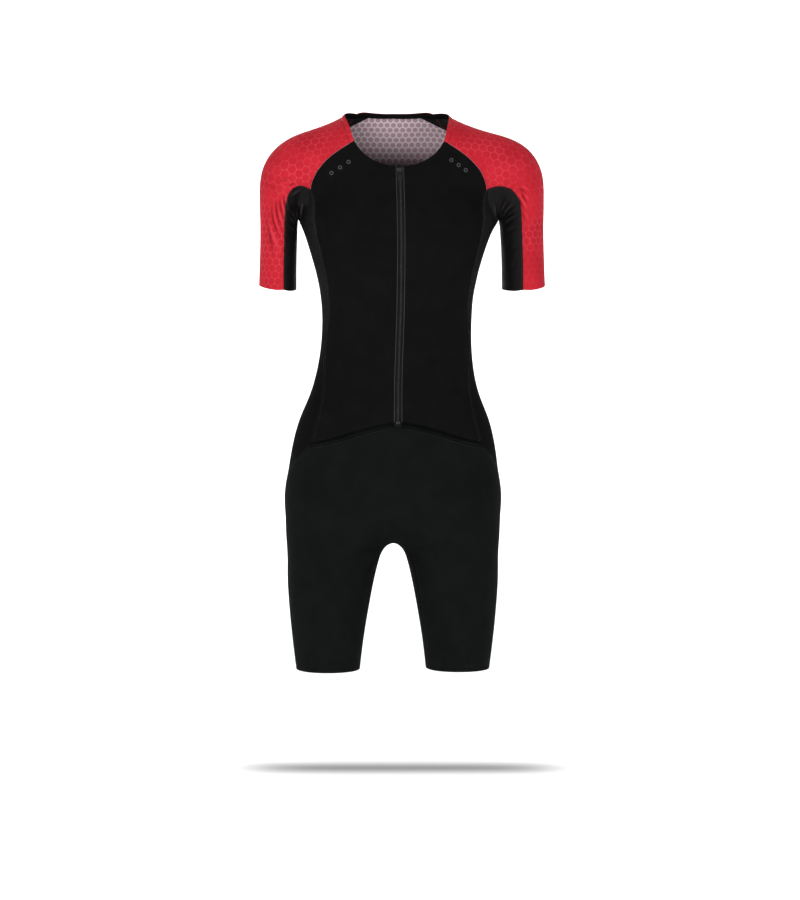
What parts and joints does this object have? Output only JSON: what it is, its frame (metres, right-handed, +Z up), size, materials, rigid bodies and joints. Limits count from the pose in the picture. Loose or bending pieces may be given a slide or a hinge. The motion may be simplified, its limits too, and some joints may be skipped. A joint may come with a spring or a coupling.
{
  "type": "triathlon suit",
  "caption": "Short-sleeved one-piece triathlon suit in its worn shape, hollow, with raglan sleeves, a front zip and fitted shorts.",
  "frame": {"origin": "midway between the two shoulder points beside the neck, where the wearer's shoulders hold the suit up", "axes": "+Z up, front towards -Y, the wearer's left at +X"},
  "size_m": [0.4426, 0.2384, 0.8636],
  "materials": {
    "red_knit": "matt warp knit with a tonal honeycomb, slight sheen",
    "black_knit": "smooth matt stretch knit",
    "heather_knit": "heathered matt stretch knit",
    "band_knit": "smooth woven elastic band",
    "zip_tape": "closely woven tape with a fine coil",
    "zip_metal": "satin black lacquered metal",
    "pull_plastic": "moulded satin plastic on a wire loop"
  },
  "bodies": {
    "suit": {"front_bodice_left": "black_knit", "front_bodice_right": "black_knit", "waist_band_left": "band_knit", "waist_band_right": "band_knit", "zip_tape_left": "zip_tape", "zip_tape_right": "zip_tape", "sleeve_left": "red_knit", "sleeve_right": "red_knit", "neckband_left": "red_knit", "neckband_right": "red_knit", "underarm_left": "black_knit", "underarm_right": "black_knit", "side_panel_left": "heather_knit", "side_panel_right": "heather_knit", "back_bodice": "red_knit", "back_neck_facing": "black_knit", "shorts_front": "black_knit", "shorts_back_left": "black_knit", "shorts_back_right": "black_knit", "inner_leg_gusset": "black_knit", "zip_slider": "zip_metal", "zip_bottom_stop": "zip_metal"},
    "zip_pull": {"zip_pull_tab": "pull_plastic"}
  },
  "joints": [
    {"name": "pull_swing", "type": "hinge", "parent": "suit", "child": "zip_pull", "pos_m": [0, -0.07909, -0.08889], "axis": [-1, 0, 0], "range_deg": [0, 165]}
  ]
}
